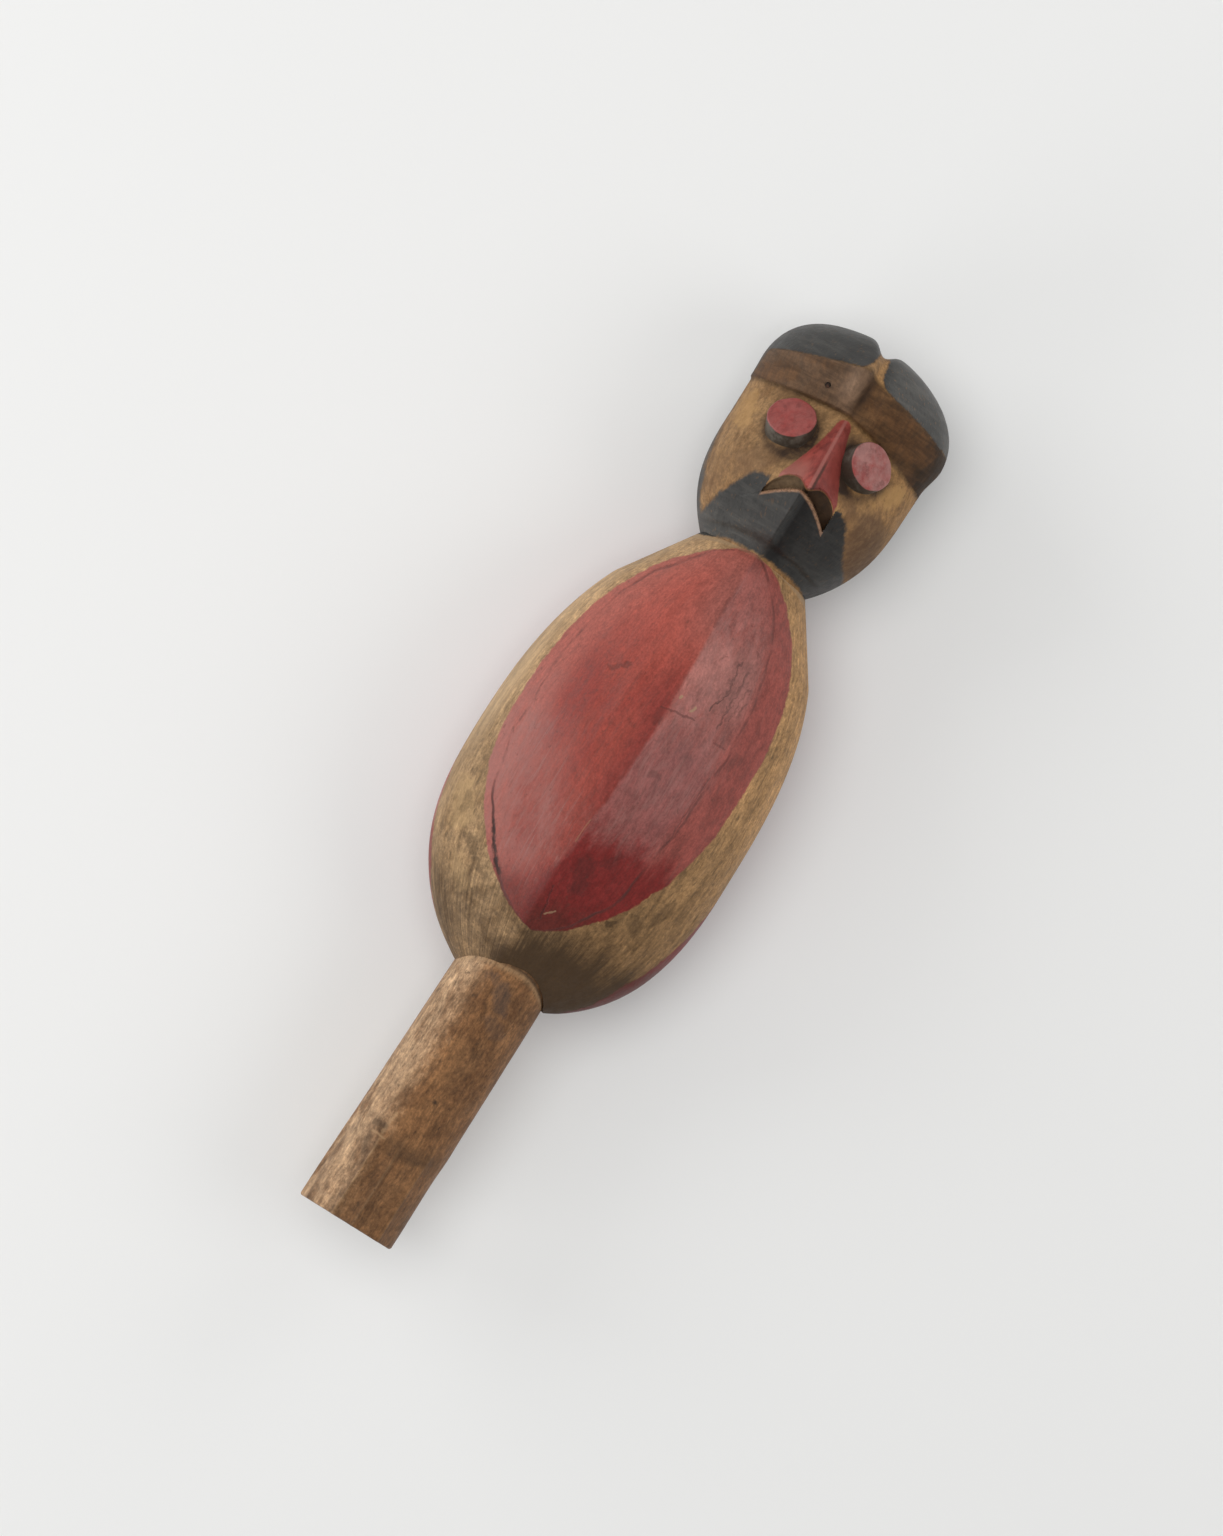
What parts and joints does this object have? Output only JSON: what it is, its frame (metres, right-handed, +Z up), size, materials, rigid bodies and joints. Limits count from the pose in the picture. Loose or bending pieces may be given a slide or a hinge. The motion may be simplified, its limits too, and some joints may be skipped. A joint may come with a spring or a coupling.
{
  "type": "ceremonial rattle",
  "caption": "Carved and painted wooden figure rattle: two hollow halves pegged round loose pebbles, with a keeled egg-shaped body, a masked head and a plain round handle.",
  "frame": {"origin": "under the middle of the rattle, on the surface that its back rests on", "axes": "+X from the butt of the handle to the crest, +Y to the figure's right-hand side as it looks up, +Z up out of its face"},
  "size_m": [0.32, 0.0934, 0.075],
  "materials": {
    "painted_wood": "worn red, black and bare wood, satin",
    "red_back_wood": "worn red paint on wood, satin",
    "handle_wood": "bare hand-worn wood",
    "peg_wood": "split hardwood",
    "nail_iron": "dark forged iron",
    "pebble_stone": "river worn"
  },
  "bodies": {
    "rattle": {"front_half": "painted_wood", "back_half": "red_back_wood", "handle": "handle_wood", "handle_pin": "peg_wood", "brow_nail": "nail_iron", "rim_peg_1": "peg_wood", "rim_peg_2": "peg_wood", "rim_peg_3": "peg_wood", "rim_peg_4": "peg_wood", "rim_peg_5": "peg_wood", "rim_peg_6": "peg_wood"},
    "pebble_1": {"pebble_1": "pebble_stone"},
    "pebble_2": {"pebble_2": "pebble_stone"},
    "pebble_3": {"pebble_3": "pebble_stone"},
    "pebble_4": {"pebble_4": "pebble_stone"},
    "pebble_5": {"pebble_5": "pebble_stone"},
    "pebble_6": {"pebble_6": "pebble_stone"},
    "pebble_7": {"pebble_7": "pebble_stone"},
    "pebble_8": {"pebble_8": "pebble_stone"},
    "pebble_9": {"pebble_9": "pebble_stone"}
  },
  "joints": [
    {"name": "pebble_1_hop", "type": "slide", "parent": "rattle", "child": "pebble_1", "axis": [0, 0, 1], "range_m": [0, 0.0511]},
    {"name": "pebble_2_hop", "type": "slide", "parent": "rattle", "child": "pebble_2", "axis": [0, 0, 1], "range_m": [0, 0.0505]},
    {"name": "pebble_3_hop", "type": "slide", "parent": "rattle", "child": "pebble_3", "axis": [0, 0, 1], "range_m": [0, 0.0488]},
    {"name": "pebble_4_hop", "type": "slide", "parent": "rattle", "child": "pebble_4", "axis": [0, 0, 1], "range_m": [0, 0.0489]},
    {"name": "pebble_5_hop", "type": "slide", "parent": "rattle", "child": "pebble_5", "axis": [0, 0, 1], "range_m": [0, 0.0478]},
    {"name": "pebble_6_hop", "type": "slide", "parent": "rattle", "child": "pebble_6", "axis": [0, 0, 1], "range_m": [0, 0.0454]},
    {"name": "pebble_7_hop", "type": "slide", "parent": "rattle", "child": "pebble_7", "axis": [0, 0, 1], "range_m": [0, 0.045]},
    {"name": "pebble_8_hop", "type": "slide", "parent": "rattle", "child": "pebble_8", "axis": [0, 0, 1], "range_m": [0, 0.0452]},
    {"name": "pebble_9_hop", "type": "slide", "parent": "rattle", "child": "pebble_9", "axis": [0, 0, 1], "range_m": [0, 0.0437]}
  ]
}
